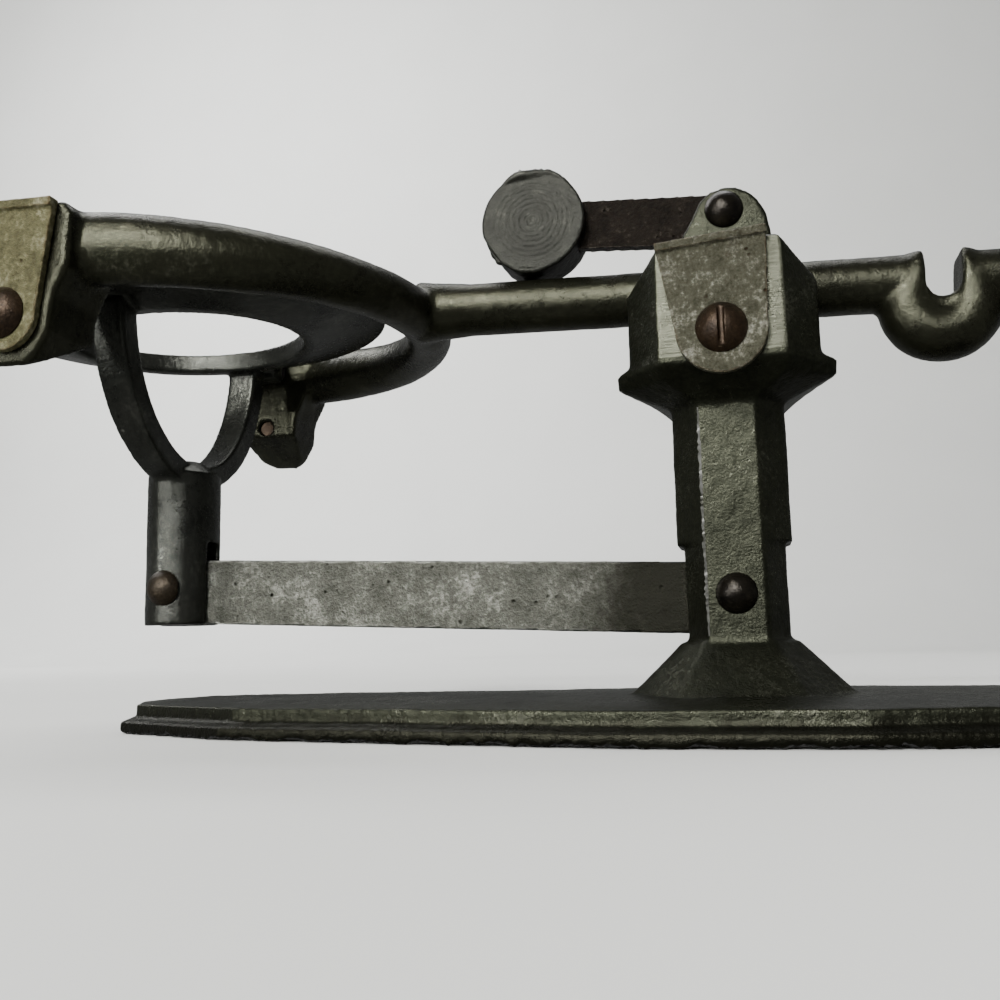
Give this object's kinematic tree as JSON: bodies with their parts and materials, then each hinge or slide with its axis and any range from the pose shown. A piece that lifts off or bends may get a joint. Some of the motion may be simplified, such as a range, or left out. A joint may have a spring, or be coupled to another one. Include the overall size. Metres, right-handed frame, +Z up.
{
  "type": "egg grading balance",
  "caption": "Cast balance for grading eggs: oval egg ring on a yoked beam, parallel check link, octagonal pillar on a long stepped base, flip-over weight above the beam.",
  "frame": {"origin": "underside of the base, on the pillar axis", "axes": "+X along the beam towards the counterweight, +Y to the rear, +Z up"},
  "size_m": [0.246, 0.0948, 0.0909],
  "materials": {
    "dark_casting": "aged zinc casting, dark grey-green",
    "holder_casting": "aged zinc casting, dark grey",
    "link_casting": "aged zinc casting, lighter mottled grey",
    "tool_steel": "ground steel",
    "cover_plate": "pale grey steel with rust stains",
    "yoke_cover_plate": "pale yellow-grey steel",
    "rusty_screw": "dark brown rusted steel",
    "rivet_steel": "dark domed steel",
    "rusty_arm": "rust-brown pitted steel",
    "pewter_weight": "dark pewter grey, turned face"
  },
  "bodies": {
    "stand": {"stand": "dark_casting", "head_bearing_front": "tool_steel", "head_bearing_rear": "tool_steel", "head_plate_front": "cover_plate", "head_plate_rear": "cover_plate", "head_screw_front": "rusty_screw", "head_screw_rear": "rusty_screw", "pillar_rivet": "rivet_steel", "flip_rivet": "rivet_steel"},
    "beam": {"beam": "dark_casting", "beam_knife_edge": "tool_steel", "yoke_bearing_front": "tool_steel", "yoke_bearing_rear": "tool_steel", "yoke_plate_front": "yoke_cover_plate", "yoke_plate_rear": "yoke_cover_plate", "yoke_screw_front": "rusty_screw", "yoke_screw_rear": "rusty_screw"},
    "holder": {"egg_holder": "holder_casting", "holder_knife_edge_front": "tool_steel", "holder_knife_edge_rear": "tool_steel", "post_rivet": "rivet_steel"},
    "link": {"check_link": "link_casting"},
    "flip": {"flip_arm": "rusty_arm", "flip_weight": "pewter_weight"}
  },
  "joints": [
    {"name": "beam_tilt", "type": "hinge", "parent": "stand", "child": "beam", "pos_m": [0, 0, 0.0668], "axis": [0, 1, 0], "range_deg": [-5, 0]},
    {"name": "holder_swing", "type": "hinge", "parent": "beam", "child": "holder", "pos_m": [-0.09491, 0, 0.07094], "axis": [0, 1, 0], "range_deg": [-0.5, 5.5]},
    {"name": "link_tilt", "type": "hinge", "parent": "stand", "child": "link", "pos_m": [0, 0, 0.0196], "axis": [0, 1, 0], "range_deg": [-5.5, 0.5]},
    {"name": "weight_flip", "type": "hinge", "parent": "stand", "child": "flip", "pos_m": [0.0012, 0, 0.0797], "axis": [0, 1, 0], "range_deg": [0, 169]}
  ],
  "couplings": [
    {"joint": "holder_swing", "follows": "beam_tilt", "ratio": -1},
    {"joint": "link_tilt", "follows": "beam_tilt", "ratio": 1}
  ]
}
